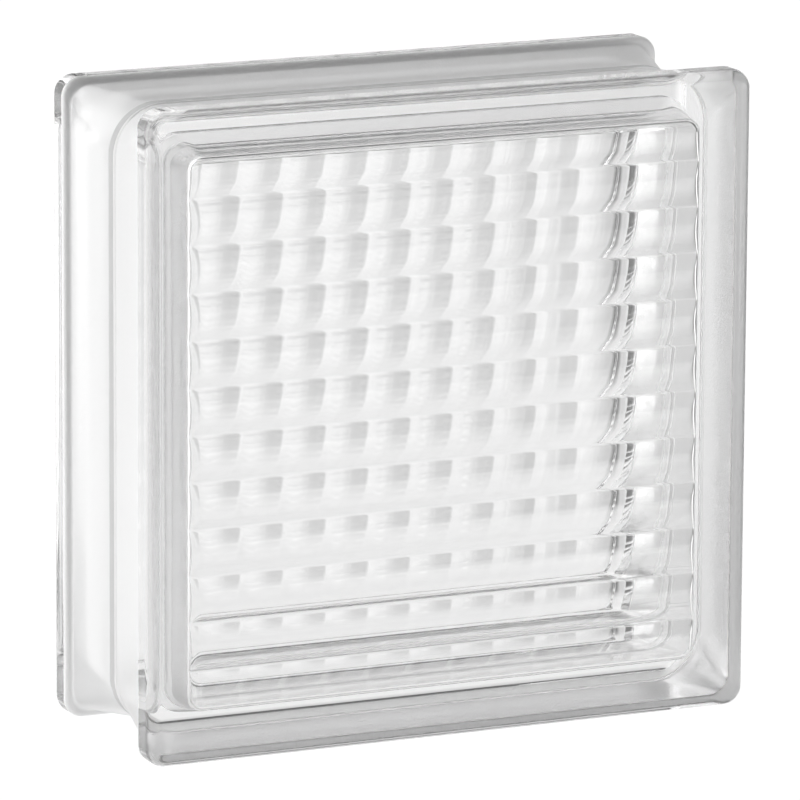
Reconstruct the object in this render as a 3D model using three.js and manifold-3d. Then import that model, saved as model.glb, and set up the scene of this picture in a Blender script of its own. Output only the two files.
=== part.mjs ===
// Glass block: a square, hollow building block of clear pressed glass.
//
// It is made of two pans pressed in one mould. Each has a flat outer face with a rim
// around it, four drafted side walls, and flutes pressed into the inside of its pane.
// The rear pan is turned a quarter turn, so its flutes cross those of the front pan,
// and the open edges are fused together with a low bead all round.
//
// Millimetres, +Z up. The block stands on the edge of its rims, its front faces -Y,
// and the fused seam lies in the plane Y = 0.

import * as THREE from 'three';
import { mergeVertices } from 'three/addons/utils/BufferGeometryUtils.js';
import Module from 'manifold-3d';

// ---- Driving dimensions -------------------------------------------------------------

const FACE_SIZE = 197;          // width and height over the rims
const BLOCK_DEPTH = 76;         // from face to face

const RIM_WIDTH = 10.2;         // depth of each rim along Y
const RIM_FACE_ROUND = 3.5;     // round between the outer face and the rim's side
const RIM_BACK_ROUND = 1.4;     // round on the rim's edge at the channel
const RIM_CORNER = 6;           // radius of the rim's corners, seen from the front

const CHANNEL_DEPTH = 2.4;      // step from the rim's side to the channel floor
const CHANNEL_FALL = 1.8;       // how much deeper the floor lies at the seam
const CHANNEL_FILLET = 1;       // fillet between the rim and the channel floor
const CHANNEL_CORNER = 6;       // corner radius of the floor next to the rim
const SEAM_CORNER = 16;         // corner radius of the floor at the seam

const BEAD_WIDTH = 5;           // fused bead along Y, over both pans
const BEAD_HEIGHT = 0.6;        // how far the bead stands out of the channel floor
const INNER_BEAD_HEIGHT = 0.7;  // how far it stands into the cavity

const SEAM_WALL = 6.5;          // side wall at the seam, without the bead
const WALL_DRAFT_ANGLE = 9;     // degrees that the cavity narrows towards each pane
const CAVITY_ROUND = 4;         // round between the side walls and the pane
const CAVITY_CORNER = 5;        // radius of the cavity's corners next to the pane

const PANE_THICKNESS = 9;       // from the outer face to the ridges of the flutes
const FLUTE_PITCH = 14.2;       // from ridge to ridge
const FLUTE_DEPTH = 2;          // from the ridges to the bottoms of the flutes

// ---- Fineness of the curved faces ---------------------------------------------------

const CORNER_STEPS = 10;        // facets in a quarter turn of an outline's corner
const ROUND_STEPS = 5;          // facets in a small round, fillet or half bead
const WALL_STEPS = 4;           // sections between the seam and the rim or pane
const FLUTE_STEPS = 8;          // facets across one flute

// ---- Sizes worked out from these ----------------------------------------------------

const QUARTER_TURN = Math.PI / 2;
const PAN_DEPTH = BLOCK_DEPTH / 2;
const RIM_HALF = FACE_SIZE / 2;
const RIM_BACK = PAN_DEPTH - RIM_WIDTH;
const FLOOR_HALF_AT_RIM = RIM_HALF - CHANNEL_DEPTH;
const FLOOR_HALF_AT_SEAM = FLOOR_HALF_AT_RIM - CHANNEL_FALL;
const HALF_BEAD = BEAD_WIDTH / 2;

const CAVITY_HALF_AT_SEAM = FLOOR_HALF_AT_SEAM - SEAM_WALL;
const RIDGE_LEVEL = PAN_DEPTH - PANE_THICKNESS;
const FLUTE_BOTTOM_LEVEL = RIDGE_LEVEL + FLUTE_DEPTH;
const DRAFT = Math.tan(THREE.MathUtils.degToRad(WALL_DRAFT_ANGLE));
const FLUTE_RADIUS = (FLUTE_PITCH ** 2 / 4 + FLUTE_DEPTH ** 2) / (2 * FLUTE_DEPTH);

const CUT_OVERRUN = 5;          // how far a cutting solid passes the face that it opens

// ---- Glass --------------------------------------------------------------------------

function clearGlass(name) {
  return new THREE.MeshStandardMaterial({
    name,
    color: 0xf2f2f2,
    roughness: 0.03,
    metalness: 0,
    transparent: true,
    opacity: 0.35,
  });
}

// ---- Sections and lofts -------------------------------------------------------------

// Outline of a square with rounded corners, as points in order. Each has the same
// number of points, so outlines of different sizes can be joined into a loft.
function roundedSquare(half, corner) {
  const centre = half - corner;
  const quadrants = [[1, 1], [-1, 1], [-1, -1], [1, -1]];
  return quadrants.flatMap(([signX, signY], quadrant) => {
    const start = quadrant * QUARTER_TURN;
    const arc = new THREE.EllipseCurve(
      signX * centre, signY * centre, corner, corner, start, start + QUARTER_TURN);
    return arc.getPoints(CORNER_STEPS);
  });
}

// Closed solid through a list of sections { level, half, corner }, from the lowest
// level to the highest, with a flat cap on both ends.
function loft(sections) {
  const outlines = sections.map(({ half, corner }) => roundedSquare(half, corner));
  const count = outlines[0].length;
  const positions = outlines.flatMap((outline, row) =>
    outline.flatMap(({ x, y }) => [x, y, sections[row].level]));

  const indices = [];
  for (let row = 0; row < sections.length - 1; row++) {
    for (let i = 0; i < count; i++) {
      const a = row * count + i;
      const b = row * count + (i + 1) % count;
      indices.push(a, b, b + count);
      indices.push(a, b + count, a + count);
    }
  }
  const top = (sections.length - 1) * count;
  for (const [a, b, c] of THREE.ShapeUtils.triangulateShape(outlines[0], [])) {
    indices.push(c, b, a);
  }
  for (const [a, b, c] of THREE.ShapeUtils.triangulateShape(outlines.at(-1), [])) {
    indices.push(top + a, top + b, top + c);
  }

  const geometry = new THREE.BufferGeometry();
  geometry.setAttribute('position', new THREE.Float32BufferAttribute(positions, 3));
  geometry.setIndex(indices);
  return geometry;
}

// Points of a profile drawn as curves one after another: x is the half size of the
// section and y its level. A point that repeats the last one is left out.
function profilePoints(curves) {
  const points = [];
  for (const { curve, steps } of curves) {
    for (const point of curve.getPoints(steps)) {
      const last = points.at(-1);
      if (!last || last.distanceTo(point) > 1e-6) {
        points.push(point);
      }
    }
  }
  return points;
}

function line(fromHalf, fromLevel, toHalf, toLevel, steps) {
  const from = new THREE.Vector2(fromHalf, fromLevel);
  const to = new THREE.Vector2(toHalf, toLevel);
  return { curve: new THREE.LineCurve(from, to), steps };
}

function quarter(centreHalf, centreLevel, radiusHalf, radiusLevel, startTurn, endTurn) {
  const curve = new THREE.EllipseCurve(
    centreHalf, centreLevel, radiusHalf, radiusLevel,
    startTurn * QUARTER_TURN, endTurn * QUARTER_TURN, endTurn < startTurn);
  return { curve, steps: ROUND_STEPS };
}

// ---- The pan's outside --------------------------------------------------------------

// From the crown of the bead, along the channel floor, over the rim to the face.
function outsideProfile() {
  const filletEnd = RIM_BACK - CHANNEL_FILLET;
  const roundStart = RIM_HALF - RIM_BACK_ROUND;
  return profilePoints([
    quarter(FLOOR_HALF_AT_SEAM, 0, BEAD_HEIGHT, HALF_BEAD, 0, 1),
    line(FLOOR_HALF_AT_SEAM, HALF_BEAD, FLOOR_HALF_AT_RIM, filletEnd, WALL_STEPS),
    quarter(FLOOR_HALF_AT_RIM + CHANNEL_FILLET, filletEnd,
      CHANNEL_FILLET, CHANNEL_FILLET, 2, 1),
    quarter(roundStart, RIM_BACK + RIM_BACK_ROUND,
      RIM_BACK_ROUND, RIM_BACK_ROUND, -1, 0),
    quarter(RIM_HALF - RIM_FACE_ROUND, PAN_DEPTH - RIM_FACE_ROUND,
      RIM_FACE_ROUND, RIM_FACE_ROUND, 0, 1),
  ]);
}

// The corners open out from the rim's tight radius to the seam's wide one, and the
// rounds of the rim keep the centres of its corners.
function outsideCorner(half, level) {
  const alongFloor = THREE.MathUtils.clamp(level / RIM_BACK, 0, 1);
  const floorCorner = THREE.MathUtils.lerp(SEAM_CORNER, CHANNEL_CORNER, alongFloor);
  const rimCorner = RIM_CORNER - (RIM_HALF - half);
  const overStep = THREE.MathUtils.smoothstep(half, FLOOR_HALF_AT_RIM, RIM_HALF);
  return level > RIM_BACK + RIM_BACK_ROUND
    ? rimCorner
    : THREE.MathUtils.lerp(floorCorner, RIM_CORNER, overStep);
}

function panOutside() {
  return loft(outsideProfile().map(({ x: half, y: level }) => (
    { level, half, corner: outsideCorner(half, level) })));
}

// ---- The cavity ---------------------------------------------------------------------

// From past the open edge, over the inner bead and up the drafted wall, then round
// to a flat end level with the bottoms of the flutes. The corners keep their centres,
// so they widen with the walls from the pane to the seam.
function cavitySections() {
  const roundLevel = FLUTE_BOTTOM_LEVEL - CAVITY_ROUND;
  const paneHalf = CAVITY_HALF_AT_SEAM - DRAFT * (roundLevel - HALF_BEAD);
  const profile = profilePoints([
    quarter(CAVITY_HALF_AT_SEAM, 0, INNER_BEAD_HEIGHT, HALF_BEAD, 2, 1),
    line(CAVITY_HALF_AT_SEAM, HALF_BEAD, paneHalf, roundLevel, WALL_STEPS),
    quarter(paneHalf - CAVITY_ROUND, roundLevel, CAVITY_ROUND, CAVITY_ROUND, 0, 1),
  ]);
  const sections = profile.map(({ x: half, y: level }) => (
    { level, half, corner: CAVITY_CORNER + half - paneHalf }));
  return [{ ...sections[0], level: -CUT_OVERRUN }, ...sections];
}

// A slab that runs along X through the whole pan, from past its open edge up to the
// flutes: a row of arcs that meet in ridges, with one ridge in the middle.
function flutedSlab() {
  const flutes = 2 * Math.ceil(RIM_HALF / FLUTE_PITCH);
  const edge = flutes / 2 * FLUTE_PITCH;
  const arcHalfAngle = Math.asin(FLUTE_PITCH / 2 / FLUTE_RADIUS);
  const arcCentre = FLUTE_BOTTOM_LEVEL - FLUTE_RADIUS;

  const section = new THREE.Shape();
  section.moveTo(edge, -2 * CUT_OVERRUN);
  section.lineTo(edge, RIDGE_LEVEL);
  for (let flute = flutes; flute > 0; flute--) {
    const middle = (flute - 0.5) * FLUTE_PITCH - edge;
    section.absarc(middle, arcCentre, FLUTE_RADIUS,
      QUARTER_TURN - arcHalfAngle, QUARTER_TURN + arcHalfAngle, false);
  }
  section.lineTo(-edge, -2 * CUT_OVERRUN);
  section.closePath();

  const slab = new THREE.ExtrudeGeometry(section, {
    depth: FACE_SIZE,
    bevelEnabled: false,
    curveSegments: FLUTE_STEPS,
  });
  slab.translate(0, 0, -RIM_HALF);
  slab.applyMatrix4(new THREE.Matrix4().makeBasis(
    new THREE.Vector3(0, 1, 0), new THREE.Vector3(0, 0, 1), new THREE.Vector3(1, 0, 0)));
  return slab;
}

// ---- Booleans -----------------------------------------------------------------------

const manifoldLibrary = await Module();
manifoldLibrary.setup();
const { Manifold, Mesh } = manifoldLibrary;

function toSolid(geometry) {
  const bare = geometry.clone();
  bare.deleteAttribute('normal');
  bare.deleteAttribute('uv');
  const merged = mergeVertices(bare);
  const vertProperties = Float32Array.from(merged.attributes.position.array);
  const triVerts = Uint32Array.from(merged.index.array);
  return new Manifold(new Mesh({ numProp: 3, vertProperties, triVerts }));
}

function toGeometry(solid) {
  const mesh = solid.getMesh();
  const geometry = new THREE.BufferGeometry();
  geometry.setAttribute('position', new THREE.BufferAttribute(mesh.vertProperties, 3));
  geometry.setIndex(new THREE.BufferAttribute(mesh.triVerts, 1));
  geometry.computeVertexNormals();
  return geometry;
}

// ---- The two pans -------------------------------------------------------------------

// One pressed pan, open edge at Z = 0, outer face at Z = PAN_DEPTH, flutes along X.
function pressedPan() {
  const cavity = toSolid(loft(cavitySections())).intersect(toSolid(flutedSlab()));
  return toGeometry(toSolid(panOutside()).subtract(cavity));
}

const X_AXIS = new THREE.Vector3(1, 0, 0);
const Y_AXIS = new THREE.Vector3(0, 1, 0);
const Z_AXIS = new THREE.Vector3(0, 0, 1);

// Names the directions that the pan's own X, Y and Z point to in the block.
function placePan(name, geometry, xTo, yTo, zTo) {
  const pan = new THREE.Mesh(geometry, clearGlass(`${name}_glass`));
  pan.name = name;
  pan.setRotationFromMatrix(new THREE.Matrix4().makeBasis(xTo, yTo, zTo));
  pan.position.set(0, 0, RIM_HALF);
  return pan;
}

const panGeometry = pressedPan();
const glassBlock = new THREE.Group();
glassBlock.name = 'glass_block';
glassBlock.add(
  placePan('front_half', panGeometry, X_AXIS, Z_AXIS, Y_AXIS.clone().negate()),
  placePan('rear_half', panGeometry, Z_AXIS, X_AXIS, Y_AXIS),
);

export default glassBlock;
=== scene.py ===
"""Glass block: two pressed pans of clear glass fused edge to edge, on a plain studio floor."""

import math

import bmesh
import bpy
from mathutils import Matrix, Quaternion, Vector


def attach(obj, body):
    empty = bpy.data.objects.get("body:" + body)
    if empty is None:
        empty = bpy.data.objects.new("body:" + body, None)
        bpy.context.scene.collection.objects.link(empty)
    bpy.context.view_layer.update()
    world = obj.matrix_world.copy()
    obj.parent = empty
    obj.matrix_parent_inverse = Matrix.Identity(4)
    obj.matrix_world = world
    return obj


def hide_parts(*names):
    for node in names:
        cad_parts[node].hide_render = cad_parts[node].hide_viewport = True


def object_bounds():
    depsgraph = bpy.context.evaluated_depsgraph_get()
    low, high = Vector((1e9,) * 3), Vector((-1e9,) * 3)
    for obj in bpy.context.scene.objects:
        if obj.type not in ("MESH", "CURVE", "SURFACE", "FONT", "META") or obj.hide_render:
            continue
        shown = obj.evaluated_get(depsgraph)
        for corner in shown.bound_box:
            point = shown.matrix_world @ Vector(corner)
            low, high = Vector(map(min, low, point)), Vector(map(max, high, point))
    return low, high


bl_info = {
    "name": "Glass Block",
    "version": (1, 0, 0),
    "blender": (4, 5, 0),
    "location": "View3D > Sidebar > Glass Block",
    "description": "Models a fused glass block with crossed flutes, and a small studio around it",
    "category": "Add Mesh",
}

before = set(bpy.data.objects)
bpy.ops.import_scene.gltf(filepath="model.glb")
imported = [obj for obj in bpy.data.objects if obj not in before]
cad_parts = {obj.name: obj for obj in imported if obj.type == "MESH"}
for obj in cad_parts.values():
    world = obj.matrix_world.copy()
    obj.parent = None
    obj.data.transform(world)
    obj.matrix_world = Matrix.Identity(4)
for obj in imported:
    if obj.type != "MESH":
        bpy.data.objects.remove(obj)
CAD_LOW, CAD_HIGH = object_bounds()
MM = 0.001
QUARTER_TURN = math.pi / 2
SAME_PLACE = 1e-6  # metres between points that are welded
SAME_LEVEL = 1e-7  # metres between points that lie on one line or level

# Material slots of the block; a face between two of them takes the higher one. The last slot is
# the bead's grey crown: painted shade for the dark line along the seam.
CLEAR, THIN_COAT, THICK_COAT, SEAM_SHADE_COAT = range(4)

# Fineness of the curved faces
CORNER_STEPS = 16  # of an outline's corner
SWEEP_STEPS = 12   # of the cavity's corners
FACE_STEPS = 14    # of the round at the face
ROUND_STEPS = 8    # of the bead, the fillet and the round at the channel
CAVITY_STEPS = 10  # of the round at the pane
INNER_STEPS = 6    # of the bead inside the cavity
WALL_STEPS = 4     # of the channel floor and the cavity's walls
GUARD = 0.25 * MM  # from a flat face's edge to the line that keeps it flat

FLOOR_SIZE = 12
NEAR_FLOOR, FAR_FLOOR = 0.05, 0.62  # where the light table starts and ends its change
SENSOR_WIDTH = 36
FAR_CLIP = 100


# ---- Settings -------------------------------------------------------------------------


def length(name, description, millimetres):
    return bpy.props.FloatProperty(
        name=name, description=description, default=millimetres * MM,
        min=0, precision=5, unit="LENGTH", subtype="DISTANCE")


def turn(name, description, degrees):
    return bpy.props.FloatProperty(
        name=name, description=description, default=math.radians(degrees),
        unit="ROTATION", subtype="ANGLE")


def tint(name, description, grey):
    return bpy.props.FloatVectorProperty(
        name=name, description=description, default=(grey, grey, grey), min=0, max=1,
        subtype="COLOR")


def coat_side(name, description, transmission, roughness):
    return bpy.props.FloatVectorProperty(
        name=name, description=description + ": share of light through it, and its scatter",
        size=2, default=(transmission, roughness), min=0, max=1)


def brightness(name, description, default):
    return bpy.props.FloatProperty(
        name=name, description=description, default=default, min=0, soft_max=4)


def area_light(name, description, default):
    return brightness(
        name, description + ", as a share of the room's brightness", default)


class BlockSizes(bpy.types.PropertyGroup):
    """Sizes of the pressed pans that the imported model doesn't state by itself"""

    rim_width: length("Rim width", "Depth of each rim through the block", 10.2)
    rim_face_round: length("Face round", "Round between a face and the rim's side", 3.5)
    rim_back_round: length("Back round", "Round on the rim's edge at the channel", 1.4)
    rim_corner: length("Rim corner", "Radius of the rim's corners", 6)
    channel_depth: length("Channel depth", "Step from the rim to the channel floor", 2.4)
    channel_fall: length("Channel fall", "Extra depth of the floor at the seam", 1.8)
    channel_fillet: length("Channel fillet", "Fillet at the foot of the rim", 1)
    channel_corner: length("Channel corner", "Corner radius of the floor at the rim", 6)
    seam_corner: length("Seam corner", "Corner radius of the floor at the seam", 16)
    bead_width: length("Bead width", "Width of the fused bead", 5)
    bead_height: length("Bead height", "Height of the bead over the channel floor", 0.6)
    # Width of the bead's grey crown strip, which is painted shade for the dark line along the
    # seam
    shaded_crown_width: length("Worn crown", "Rubbed strip of the bead beside the seam", 1.4)
    inner_bead_height: length("Inner bead", "Height of the bead inside the cavity", 0.7)
    seam_wall: length("Seam wall", "Thickness of the side walls at the seam", 6.5)
    wall_draft: turn("Wall draft", "Lean of the cavity's walls towards a pane", 9)
    cavity_round: length("Cavity round", "Round between the side walls and a pane", 4)
    cavity_corner: length("Cavity corner", "Radius of the cavity's corners at a pane", 5)
    pane_thickness: length("Pane", "From the outer face to the flutes' ridges", 9)
    flute_pitch: length("Flute pitch", "From one ridge of the flutes to the next", 14.2)
    flute_depth: length("Flute depth", "From the ridges to the bottoms of the flutes", 2)
    ridge_round: length("Ridge round", "Half width of the softened top of a ridge", 0.8)
    melt_round: length("Melt round", "How softly flutes and walls run together", 0.8)


class GlassFinish(bpy.types.PropertyGroup):
    """Colours and gloss of the glass and its channel coating"""

    glass_colour: tint("Glass", "Tint of the clear glass", 0.99)
    glass_haze: bpy.props.FloatProperty(
        name="Haze", description="Most that the clear glass scatters light",
        default=0.012, min=0, max=1, subtype="FACTOR")
    mould_waves: length("Mould waves", "Depth of the mould's slow waviness", 0.03)
    coat_colour: tint("Coating", "Colour of the mortar key in the channel", 0.96)
    thin_outside: coat_side("Floor, outside", "The floor's coat in the open air", 0.5, 0.3)
    thin_inside: coat_side("Floor, inside", "The floor's coat under the glass", 0.8, 0.15)
    thick_outside: coat_side("Step, outside", "The rims' coat in the open air", 0.1, 0.4)
    thick_inside: coat_side("Step, inside", "The rims' coat under the glass", 0.45, 0.3)
    # The crown's grey colour, and its coat that lets less light through, are painted shade for
    # the dark line along the seam
    seam_shade_colour: tint("Worn coating", "Colour of the rubbed coat on the bead", 0.6)
    seam_shade_outside: coat_side("Crown, outside", "The rubbed coat in the open air", 0.3, 0.4)


class StudioSettings(bpy.types.PropertyGroup):
    """Camera and light"""

    camera_azimuth: turn("Azimuth", "Turn of the camera about the block", -24.545)
    camera_elevation: turn("Elevation", "Height of the camera as an angle", 12.291)
    camera_roll: turn("Roll", "Turn of the camera about its own axis", 0.305)
    camera_distance: length("Distance", "From the camera to the block's middle", 2333.5)
    camera_lens: bpy.props.FloatProperty(
        name="Lens", description="Focal length in millimetres on a 36 mm frame",
        default=347.3, min=1)
    camera_aim: bpy.props.FloatVectorProperty(
        name="Aim", description="Point that the camera looks at",
        default=(-0.00045, 0, 0.09615), subtype="XYZ", unit="LENGTH", precision=5)
    room: brightness("Room", "Brightness of the white room", 1.2)
    floor_glow: brightness("Floor glow", "Light that the floor gives off itself", 1.05)
    near_floor: brightness("Near floor", "Brightness of the floor next to the block", 0.88)
    bounces: bpy.props.IntProperty(
        name="Bounces", description="How often light may turn inside the glass walls",
        default=32, min=4, max=64)
    left_box: area_light("Left box", "The soft box high on the left", 2.4)
    right_box: area_light("Right box", "The soft box high on the right", 2.3)
    camera_flag: area_light("Camera flag", "The black flag behind the camera", 0.02)
    high_flag: area_light("High flag", "The black flag high on the front right", 0.02)
    side_flag: area_light("Side flag", "The low black flag on the right", 0.02)
    sweep_left: area_light("Sweep, left", "The backdrop behind on the left", 0.74)
    sweep_right: area_light("Sweep, right", "The backdrop behind on the right", 0.46)
    back_card: area_light("Back card", "The dark card straight behind the block", 0.06)


# ---- Profiles and rings ---------------------------------------------------------------


def arc(centre, radii, start, end, steps):
    """Points of an elliptical arc as (half size, level), angles in quarter turns."""
    points = []
    for step in range(steps + 1):
        angle = (start + (end - start) * step / steps) * QUARTER_TURN
        points.append((centre[0] + radii[0] * math.cos(angle),
                       centre[1] + radii[1] * math.sin(angle)))
    return points


def guarded(start, end, steps):
    """Points of a straight stretch, with one more close to each end to keep it flat."""
    guard = GUARD / math.dist(start, end)
    shares = [0, guard]
    shares += [step / steps for step in range(1, steps)]
    shares += [1 - guard, 1]
    return [(start[0] + (end[0] - start[0]) * share,
             start[1] + (end[1] - start[1]) * share) for share in shares]


def joined(*stretches):
    """One list of points from stretches that may share their end points."""
    points = []
    for point in (p for stretch in stretches for p in stretch):
        if not points or math.dist(points[-1], point) > SAME_LEVEL:
            points.append(point)
    return points


def lerp(a, b, share):
    """From a to b, and no further than either."""
    return a + (b - a) * min(max(share, 0), 1)


def smoothstep(value, low, high):
    """From 0 at low to 1 at high, level at both ends."""
    share = min(max((value - low) / (high - low), 0), 1)
    return share * share * (3 - 2 * share)


def unique(items):
    """Each item once, in the order of the items."""
    return list(dict.fromkeys(items))


def fix_order(bm):
    """Puts edges and faces in the order of their corners, which is the same in every run."""
    bm.verts.index_update()
    for elements in (bm.edges, bm.faces):
        ordered = sorted(
            elements, key=lambda item: sorted(vert.index for vert in item.verts))
        for index, item in enumerate(ordered):
            item.index = index
        elements.sort()


def rounded_square(bm, half, corner, level):
    """A closed ring of edges in the plane Y = -level, round the block's middle."""
    turned = Matrix.Rotation(math.pi / 4, 4, "Y") @ Matrix.Rotation(QUARTER_TURN, 4, "X")
    ring = bmesh.ops.create_circle(
        bm, segments=4, radius=half * math.sqrt(2),
        matrix=Matrix.Translation((0, -level, 0)) @ turned)
    sides = unique(edge for vert in ring["verts"] for edge in vert.link_edges)
    rounded = bmesh.ops.bevel(
        bm, geom=ring["verts"], offset=corner, segments=CORNER_STEPS, profile=0.5,
        affect="VERTICES", material=-1)
    corners = [edge for vert in rounded["verts"] for edge in vert.link_edges]
    return unique(corners + [edge for edge in sides if edge.is_valid])


# ---- The pans -------------------------------------------------------------------------


class PanPlan:
    """Every size of one pan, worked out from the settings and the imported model."""

    def __init__(self, sizes):
        self.sizes = sizes
        self.half = (CAD_HIGH[0] - CAD_LOW[0]) / 2
        self.depth = (CAD_HIGH[1] - CAD_LOW[1]) / 2
        self.middle = (CAD_HIGH[2] + CAD_LOW[2]) / 2
        self.rim_back = self.depth - sizes.rim_width
        self.floor_at_rim = self.half - sizes.channel_depth
        self.floor_at_seam = self.floor_at_rim - sizes.channel_fall
        self.half_bead = sizes.bead_width / 2
        self.cavity_at_seam = self.floor_at_seam - sizes.seam_wall
        self.ridge_level = self.depth - sizes.pane_thickness
        self.flute_bottom = self.ridge_level + sizes.flute_depth
        self.round_level = self.flute_bottom - sizes.cavity_round
        lean = math.tan(sizes.wall_draft) * (self.round_level - self.half_bead)
        self.wall_foot = self.cavity_at_seam - lean
        self.corner_centre = self.wall_foot - sizes.cavity_corner
        half_pitch = sizes.flute_pitch / 2
        self.flute_radius = (
            (half_pitch**2 + sizes.flute_depth**2) / (2 * sizes.flute_depth))

    def flute_level(self, across):
        """Level of the fluted surface at a distance across the flutes."""
        pitch = self.sizes.flute_pitch
        soft = self.sizes.ridge_round
        from_bottom = abs(across % pitch - pitch / 2)
        radius = self.flute_radius
        level = self.flute_bottom - radius + math.sqrt(radius**2 - from_bottom**2)
        from_ridge = pitch / 2 - from_bottom
        if from_ridge < soft:
            slope = (pitch / 2) / math.sqrt(radius**2 - (pitch / 2) ** 2)
            level += slope * (soft - from_ridge) ** 2 / (2 * soft)
        return level

    def flute_lines(self, reach):
        """Where the grid's lines cross the flutes: close together on each ridge."""
        pitch = self.sizes.flute_pitch
        soft = self.sizes.ridge_round
        offsets = [0, soft / 2, soft]
        offsets += [lerp(soft, pitch / 2, step / 3) for step in (1, 2, 3)]
        count = math.ceil(reach / pitch)
        closest = 0.2 * MM
        lines = {-reach, reach}
        for ridge in range(-count, count + 1):
            for offset in offsets:
                lines.add(ridge * pitch + offset)
                lines.add(ridge * pitch - offset)
        kept = sorted(line for line in lines if abs(line) <= reach)
        spaced = [kept[0]]
        for line in kept[1:]:
            if line - spaced[-1] > closest:
                spaced.append(line)
        spaced[-1] = reach
        return spaced

    def outside_corner(self, half, level):
        """Corner radius of the outer skin; it opens out from the rim to the seam."""
        sizes = self.sizes
        if level > self.rim_back + sizes.rim_back_round:
            return sizes.rim_corner - (self.half - half)
        floor = lerp(sizes.seam_corner, sizes.channel_corner, level / self.rim_back)
        return lerp(floor, sizes.rim_corner, smoothstep(half, self.floor_at_rim, self.half))


def outside_sections(plan):
    """(half size, level, finish) from the bead's crown over the rim to the face."""
    sizes = plan.sizes
    back = sizes.rim_back_round
    face = sizes.rim_face_round
    fillet = sizes.channel_fillet
    bead = arc(
        (plan.floor_at_seam, 0), (sizes.bead_height, plan.half_bead), 0, 1, ROUND_STEPS)
    floor_end = (plan.floor_at_rim, plan.rim_back - fillet)
    floor = guarded(bead[-1], floor_end, WALL_STEPS)
    foot = arc(
        (plan.floor_at_rim + fillet, floor_end[1]), (fillet, fillet), 2, 1, ROUND_STEPS)
    back_round = arc(
        (plan.half - back, plan.rim_back + back), (back, back), -1, 0, ROUND_STEPS)
    face_round = arc((plan.half - face, plan.depth - face), (face, face), 0, 1, FACE_STEPS)
    side = guarded(back_round[-1], face_round[0], 1)
    # Up to the crown's width the bead takes the grey coat that is painted shade for the seam's
    # dark line
    finish_ends = (
        (sizes.shaded_crown_width, SEAM_SHADE_COAT), (floor_end[1], THIN_COAT),
        (plan.rim_back + back, THICK_COAT), (plan.depth, CLEAR))
    return [
        (half, level, next(finish for end, finish in finish_ends if level <= end + SAME_LEVEL))
        for half, level in joined(bead, floor, foot, back_round, side, face_round)]


def model_outside(plan):
    """The outer skin of the front pan, open at the seam."""
    bm = bmesh.new()
    last = None
    last_finish = CLEAR
    for half, level, finish in outside_sections(plan):
        ring = rounded_square(bm, half, plan.outside_corner(half, level), level)
        if last:
            made = bmesh.ops.bridge_loops(bm, edges=last + ring)
            for face in made["faces"]:
                face.material_index = max(finish, last_finish)
        last = ring
        last_finish = finish
    pane = bmesh.ops.contextual_create(bm, geom=last)["faces"]
    bmesh.ops.inset_region(bm, faces=pane, thickness=GUARD, use_even_offset=True)
    return bm


def cavity_sections(plan):
    """(offset from the grid's edge, level) over the round and down the wall to the seam."""
    sizes = plan.sizes
    flat = sizes.cavity_corner - sizes.cavity_round
    shelf = [(flat / 2, plan.flute_bottom), (flat, plan.flute_bottom)]
    radius = sizes.cavity_round
    bend = arc((flat, plan.round_level), (radius, radius), 1, 0, CAVITY_STEPS)
    wall_end = (plan.cavity_at_seam - plan.corner_centre, plan.half_bead)
    wall = guarded(bend[-1], wall_end, WALL_STEPS)
    bead = arc(
        (wall_end[0], 0), (sizes.inner_bead_height, plan.half_bead), 1, 2, INNER_STEPS)
    return joined(shelf, bend, wall, bead)


def soft_min(a, b, radius):
    """The smaller of two levels, with the crease between them rounded."""
    blend = max(radius - abs(a - b), 0) / radius
    return min(a, b) - blend * blend * radius / 4


def model_cavity(plan):
    """The inner skin of the front pan, with the flutes along X, open at the seam."""
    bm = bmesh.new()
    reach = plan.corner_centre
    lines = plan.flute_lines(reach)
    cells = len(lines) - 1
    bmesh.ops.create_grid(
        bm, x_segments=cells, y_segments=cells, size=reach,
        matrix=Matrix.Rotation(QUARTER_TURN, 4, "X"))
    for vert in bm.verts:
        for axis in (0, 2):
            index = round((vert.co[axis] / reach + 1) / 2 * cells)
            vert.co[axis] = lines[index]
        vert.co.y = -plan.flute_bottom

    top = [edge for edge in bm.edges
           if all(abs(vert.co.z - reach) < SAME_LEVEL for vert in edge.verts)]
    arms = []
    last_offset, last_level = 0, plan.flute_bottom
    for offset, level in cavity_sections(plan):
        made = bmesh.ops.extrude_edge_only(bm, edges=top)["geom"]
        verts = [item for item in made if isinstance(item, bmesh.types.BMVert)]
        bmesh.ops.translate(
            bm, verts=verts, vec=(0, last_level - level, offset - last_offset))
        top = [item for item in made if isinstance(item, bmesh.types.BMEdge)
               and all(vert in verts for vert in item.verts)]
        arms += [item for item in made if isinstance(item, bmesh.types.BMFace)]
        last_offset, last_level = offset, level

    end = [edge for edge in unique(edge for face in arms for edge in face.edges)
           if all(abs(vert.co.x - reach) < SAME_LEVEL for vert in edge.verts)]
    bmesh.ops.spin(
        bm, geom=end, cent=(reach, 0, reach), axis=(0, 1, 0), angle=QUARTER_TURN,
        steps=SWEEP_STEPS, use_merge=False)
    corner = [face for face in bm.faces if face.calc_center_median().x > reach]
    side = unique(arms + corner)
    side_geometry = unique(
        side + [edge for face in side for edge in face.edges]
        + [vert for face in side for vert in face.verts])
    bmesh.ops.spin(
        bm, geom=side_geometry, cent=(0, 0, 0), axis=(0, 1, 0),
        angle=3 * QUARTER_TURN, steps=3, use_duplicate=True)
    bmesh.ops.remove_doubles(bm, verts=bm.verts, dist=SAME_PLACE)

    for vert in bm.verts:
        level = -vert.co.y
        if level > plan.ridge_level - plan.sizes.melt_round:
            flute = plan.flute_level(vert.co.z)
            vert.co.y = -soft_min(level, flute, plan.sizes.melt_round)
    return bm


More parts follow.
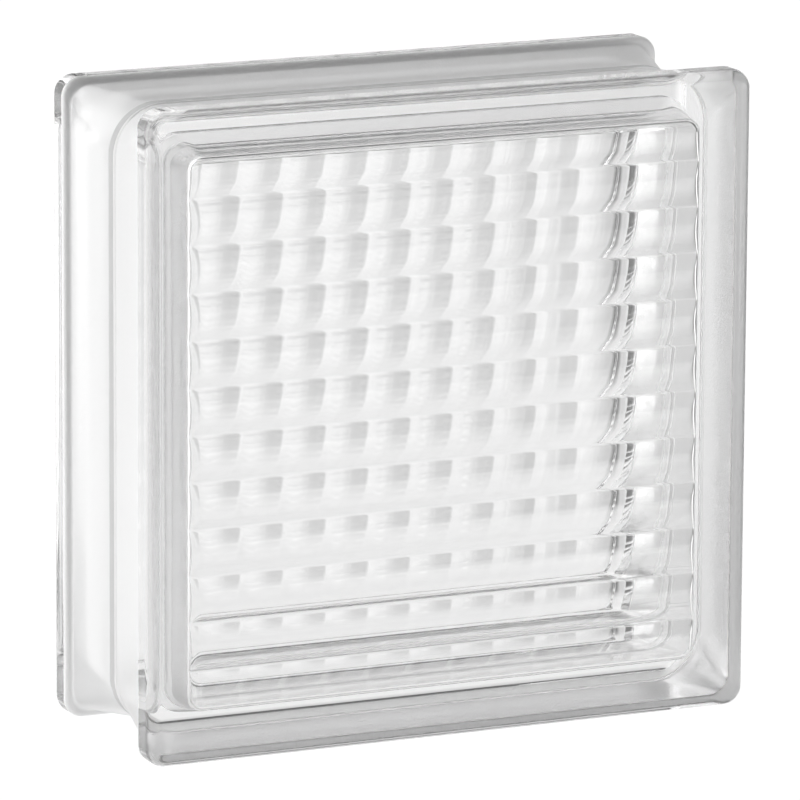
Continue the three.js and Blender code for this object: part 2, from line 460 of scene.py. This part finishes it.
def fuse_with_twin(bm, outwards):
    """Adds the same pan turned over and a quarter turn round, and closes the seam."""
    twin = bmesh.ops.duplicate(bm, geom=bm.verts[:] + bm.edges[:] + bm.faces[:])
    verts = [item for item in twin["geom"] if isinstance(item, bmesh.types.BMVert)]
    bmesh.ops.rotate(
        bm, verts=verts, matrix=Matrix.Rotation(math.pi, 3, Vector((1, 0, 1))))
    bmesh.ops.remove_doubles(bm, verts=bm.verts, dist=SAME_PLACE)
    bmesh.ops.recalc_face_normals(bm, faces=bm.faces)
    if (bm.calc_volume(signed=True) > 0) != outwards:
        bmesh.ops.reverse_faces(bm, faces=bm.faces)


def model_block(sizes):
    """The fused block as one mesh: its outer skin and its sealed cavity."""
    plan = PanPlan(sizes)
    outside = model_outside(plan)
    fuse_with_twin(outside, outwards=True)
    cavity = model_cavity(plan)
    fuse_with_twin(cavity, outwards=False)
    mesh = bpy.data.meshes.new("cavity")
    cavity.to_mesh(mesh)
    outside.from_mesh(mesh)
    bpy.data.meshes.remove(mesh)
    bmesh.ops.translate(outside, verts=outside.verts, vec=(0, 0, plan.middle))
    fix_order(outside)
    for face in outside.faces:
        face.smooth = True
    block = bpy.data.meshes.new("fused_block")
    outside.to_mesh(block)
    outside.free()
    cavity.free()
    return block


# ---- Finishes -------------------------------------------------------------------------


class NodeMaker:
    """Adds nodes to one material's or world's tree."""

    def __init__(self, tree):
        self.tree = tree

    def add(self, kind, settings=None, sockets=None):
        """A new node: its settings first, then the values or links of its sockets."""
        node = self.tree.nodes.new(kind)
        for name, value in (settings or {}).items():
            setattr(node, name, value)
        for name, value in (sockets or {}).items():
            self.plug(node.inputs[name], value)
        return node

    def plug(self, socket, value):
        """Links a shade to a socket, or sets the socket to a plain value."""
        if isinstance(value, Shade):
            self.tree.links.new(value.socket, socket)
        else:
            socket.default_value = value

    def shade(self, kind, output, settings=None, sockets=None):
        """One output of a new node, ready for arithmetic."""
        return Shade(self, self.add(kind, settings, sockets).outputs[output])

    def noise(self, place, scale, detail=2.0):
        """Noise from 0 to 1, with a scale in waves per metre."""
        return self.shade("ShaderNodeTexNoise", "Fac", {"noise_dimensions": "3D"}, {
            "Vector": place, "Scale": scale, "Detail": detail})

    def bump(self, height, distance, strength=1.0):
        """A normal tilted by a height from 0 to 1, which stands for a distance."""
        return self.shade("ShaderNodeBump", "Normal", None, {
            "Strength": strength, "Distance": distance, "Height": height})

    def vector(self, operation, output, first, second=None):
        """Vector maths on one or two vectors."""
        sockets = {0: first} if second is None else {0: first, 1: second}
        return self.shade("ShaderNodeVectorMath", output, {"operation": operation}, sockets)

    def ramp(self, value, low, high, start=0.0, end=1.0):
        """From start to end, smoothly, as a value goes from low to high."""
        return self.shade("ShaderNodeMapRange", "Result", {
            "interpolation_type": "SMOOTHSTEP", "clamp": True}, {
            "Value": value, "From Min": low, "From Max": high,
            "To Min": start, "To Max": end})


class Shade:
    """A node's output that takes part in ordinary arithmetic."""

    def __init__(self, maker, socket):
        self.maker = maker
        self.socket = socket

    def math(self, operation, first, second):
        return self.maker.shade(
            "ShaderNodeMath", "Value", {"operation": operation}, {0: first, 1: second})

    def __add__(self, other):
        return self.math("ADD", self, other)

    def __radd__(self, other):
        return self.math("ADD", other, self)

    def __sub__(self, other):
        return self.math("SUBTRACT", self, other)

    def __rsub__(self, other):
        return self.math("SUBTRACT", other, self)

    def __mul__(self, other):
        return self.math("MULTIPLY", self, other)

    def __rmul__(self, other):
        return self.math("MULTIPLY", other, self)


def new_material(name):
    """An empty material, with its node maker and the place of a point on the block."""
    material = bpy.data.materials.new(name)
    material.use_nodes = True
    material.node_tree.nodes.clear()
    maker = NodeMaker(material.node_tree)
    return material, maker, maker.shade("ShaderNodeTexCoord", "Object")


def glass(maker, colour, transmission, roughness, normal):
    """A shader of glass; light that it doesn't let through is scattered back."""
    return maker.shade("ShaderNodeBsdfPrincipled", "BSDF", None, {
        "Base Color": (*colour, 1), "IOR": 1.5, "Transmission Weight": transmission,
        "Roughness": roughness, "Normal": normal})


def clear_glass(finish):
    """Pressed glass: a slow waviness left by the mould, and a trace of haze."""
    material, maker, place = new_material("clear_glass")
    waves = maker.bump(maker.noise(place, 38, detail=1), finish.mould_waves)
    haze = maker.noise(place, 160) * finish.glass_haze
    shader = glass(maker, finish.glass_colour, 1, haze, waves)
    maker.add("ShaderNodeOutputMaterial", None, {"Surface": shader})
    return material


def coated_glass(name, colour, outside, inside):
    """Glass under the milky mortar key that is brushed into the channel.

    Each side is a share of light through the coat and its scatter: the open side is
    milky, and the side that lies on the glass lets more of the room's light in.
    """
    material, maker, place = new_material(name)
    grit = maker.bump(maker.noise(place, 900, detail=3), 0.2 * MM, strength=0.5)
    brushed = (maker.noise(place, 60) - 0.5) * 0.1
    sides = [glass(maker, colour, transmission, roughness + brushed, grit)
             for transmission, roughness in (outside, inside)]
    behind = maker.shade("ShaderNodeNewGeometry", "Backfacing")
    coat = maker.shade("ShaderNodeMixShader", "Shader", None, {
        0: behind, 1: sides[0], 2: sides[1]})
    maker.add("ShaderNodeOutputMaterial", None, {"Surface": coat})
    return material


# ---- Operators ------------------------------------------------------------------------


class GLASSBLOCK_OT_fused_block(bpy.types.Operator):
    """Model the two pressed pans, fused edge to edge"""

    bl_idname = "glassblock.fused_block"
    bl_label = "Fused block"

    def execute(self, context):
        scene = context.scene
        finish = scene.glassblock_finish
        mesh = model_block(scene.glassblock_sizes)
        block = bpy.data.objects.new("fused_block", mesh)
        scene.collection.objects.link(block)
        mesh.materials.append(clear_glass(finish))
        mesh.materials.append(coated_glass(
            "thin_coat", finish.coat_colour, finish.thin_outside, finish.thin_inside))
        mesh.materials.append(coated_glass(
            "thick_coat", finish.coat_colour, finish.thick_outside, finish.thick_inside))
        # The grey coat on the bead's crown is painted shade for the dark line along the seam
        mesh.materials.append(coated_glass(
            "painted_seam_shade", finish.seam_shade_colour, finish.seam_shade_outside, finish.thin_inside))
        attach(block, "root")
        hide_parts("front_half", "rear_half")
        return {"FINISHED"}


def compass(azimuth, elevation):
    """A unit vector; azimuth in degrees from +Y towards +X."""
    around, up = math.radians(azimuth), math.radians(elevation)
    return (math.sin(around) * math.cos(up), math.cos(around) * math.cos(up), math.sin(up))


def room_light(maker, studio, ray):
    """Brightness of the white room in a direction, with soft boxes and black flags."""
    # Middle, then how far its core and its soft edge reach from there in degrees
    areas = (
        (compass(-75, 27), 23, 33, studio.left_box),
        (compass(109, 27), 44, 54, studio.right_box),
        (compass(-155, 20), 34, 56, studio.camera_flag),
        (compass(130, 49), 42, 52, studio.high_flag),
        (compass(83, -5), 11, 33, studio.side_flag),
        (compass(-25, 9), 15, 58, studio.sweep_left),
        (compass(46, 18), 2, 42, studio.sweep_right),
        (compass(22, 20), 2, 12, studio.back_card),
    )
    light = studio.room
    for middle, core, edge, share in areas:
        towards = maker.vector("DOT_PRODUCT", "Value", ray, middle)
        light = light * maker.ramp(
            towards, math.cos(math.radians(edge)), math.cos(math.radians(core)), 1, share)
    return light


def studio_light(studio):
    """The room as a world; the camera itself sees plain white past the floor."""
    world = bpy.data.worlds.new("studio")
    world.cycles.sampling_method = "NONE"
    world.use_nodes = True
    maker = NodeMaker(world.node_tree)
    room = room_light(maker, studio, maker.shade("ShaderNodeTexCoord", "Generated"))
    seen = maker.shade("ShaderNodeLightPath", "Is Camera Ray")
    background = world.node_tree.nodes["Background"]
    maker.plug(background.inputs["Strength"], room * (1 - seen) + seen)
    background.inputs["Color"].default_value = (1, 1, 1, 1)
    return world


def glowing_sheet(name, height):
    """A flat square at or under the ground, which only gives off light of its own."""
    bm = bmesh.new()
    bmesh.ops.create_grid(
        bm, x_segments=1, y_segments=1, size=FLOOR_SIZE / 2,
        matrix=Matrix.Translation((0, 0, height)))
    mesh = bpy.data.meshes.new(name)
    bm.to_mesh(mesh)
    bm.free()
    made = bpy.data.objects.new(name, mesh)
    bpy.context.scene.collection.objects.link(made)
    material = bpy.data.materials.new(name)
    material.use_nodes = True
    mesh.materials.append(material)
    shader = material.node_tree.nodes["Principled BSDF"]
    shader.inputs["Base Color"].default_value = (0, 0, 0, 1)
    shader.inputs["Specular IOR Level"].default_value = 0
    shader.inputs["Emission Color"].default_value = (1, 1, 1, 1)
    return made, NodeMaker(material.node_tree), shader


def plain_floor(studio):
    """The white floor that the camera sees, lit from inside so that it takes no shadow."""
    floor, _, shader = glowing_sheet("floor", 0)
    shader.inputs["Emission Strength"].default_value = studio.floor_glow
    floor.visible_transmission = False
    floor.visible_glossy = False
    floor.visible_diffuse = False


def light_table(studio):
    """What the glass sees of the floor: pale near the block, like the room far from it."""
    table, maker, shader = glowing_sheet("light_table", -MM)
    place = maker.shade("ShaderNodeTexCoord", "Object")
    away = maker.vector("NORMALIZE", "Vector", place)
    far = maker.ramp(maker.vector("LENGTH", "Value", place), NEAR_FLOOR, FAR_FLOOR)
    light = studio.near_floor * (1 - far) + room_light(maker, studio, away) * far
    glow = maker.shade("ShaderNodeCombineColor", "Color", None, {
        "Red": light, "Green": light, "Blue": light})
    maker.plug(shader.inputs["Emission Color"], glow)
    shader.inputs["Emission Strength"].default_value = 1
    table.active_material.cycles.emission_sampling = "NONE"
    table.visible_camera = False
    table.visible_shadow = False


def aim_camera(studio):
    """A camera on a ball round its aim, rolled a little about its own axis."""
    data = bpy.data.cameras.new("camera")
    camera = bpy.data.objects.new("camera", data)
    bpy.context.scene.collection.objects.link(camera)
    back = Vector(compass(
        180 - math.degrees(studio.camera_azimuth), math.degrees(studio.camera_elevation)))
    roll = Quaternion((0, 0, 1), studio.camera_roll)
    camera.location = Vector(studio.camera_aim) + back * studio.camera_distance
    camera.rotation_euler = (back.to_track_quat("Z", "Y") @ roll).to_euler()
    data.sensor_width = SENSOR_WIDTH
    data.lens = studio.camera_lens
    data.clip_end = FAR_CLIP
    bpy.context.scene.camera = camera


class GLASSBLOCK_OT_studio(bpy.types.Operator):
    """Set up the floor, the light and the camera"""

    bl_idname = "glassblock.studio"
    bl_label = "Studio"

    def execute(self, context):
        studio = context.scene.glassblock_studio
        plain_floor(studio)
        light_table(studio)
        aim_camera(studio)
        context.scene.world = studio_light(studio)
        context.scene.view_settings.view_transform = "Standard"
        paths = context.scene.cycles
        paths.max_bounces = studio.bounces
        paths.glossy_bounces = studio.bounces
        paths.transmission_bounces = studio.bounces
        return {"FINISHED"}


class GLASSBLOCK_PT_sidebar(bpy.types.Panel):
    """Shows a button for each operator: the fused block and the studio"""

    bl_idname = "GLASSBLOCK_PT_sidebar"
    bl_label = "Glass Block"
    bl_space_type = "VIEW_3D"
    bl_region_type = "UI"
    bl_category = "Glass Block"

    def draw(self, context):
        for operator in OPERATORS:
            self.layout.operator(operator.bl_idname)


SETTINGS = {
    "glassblock_sizes": BlockSizes,
    "glassblock_finish": GlassFinish,
    "glassblock_studio": StudioSettings,
}
OPERATORS = (GLASSBLOCK_OT_fused_block, GLASSBLOCK_OT_studio)


def register():
    for name, group in SETTINGS.items():
        bpy.utils.register_class(group)
        setattr(bpy.types.Scene, name, bpy.props.PointerProperty(type=group))
    for cls in (*OPERATORS, GLASSBLOCK_PT_sidebar):
        bpy.utils.register_class(cls)


def unregister():
    for cls in (GLASSBLOCK_PT_sidebar, *reversed(OPERATORS)):
        bpy.utils.unregister_class(cls)
    for name, group in reversed(SETTINGS.items()):
        delattr(bpy.types.Scene, name)
        bpy.utils.unregister_class(group)


def main():
    register()
    bpy.ops.glassblock.fused_block()
    bpy.ops.glassblock.studio()


if __name__ == "__main__":
    main()
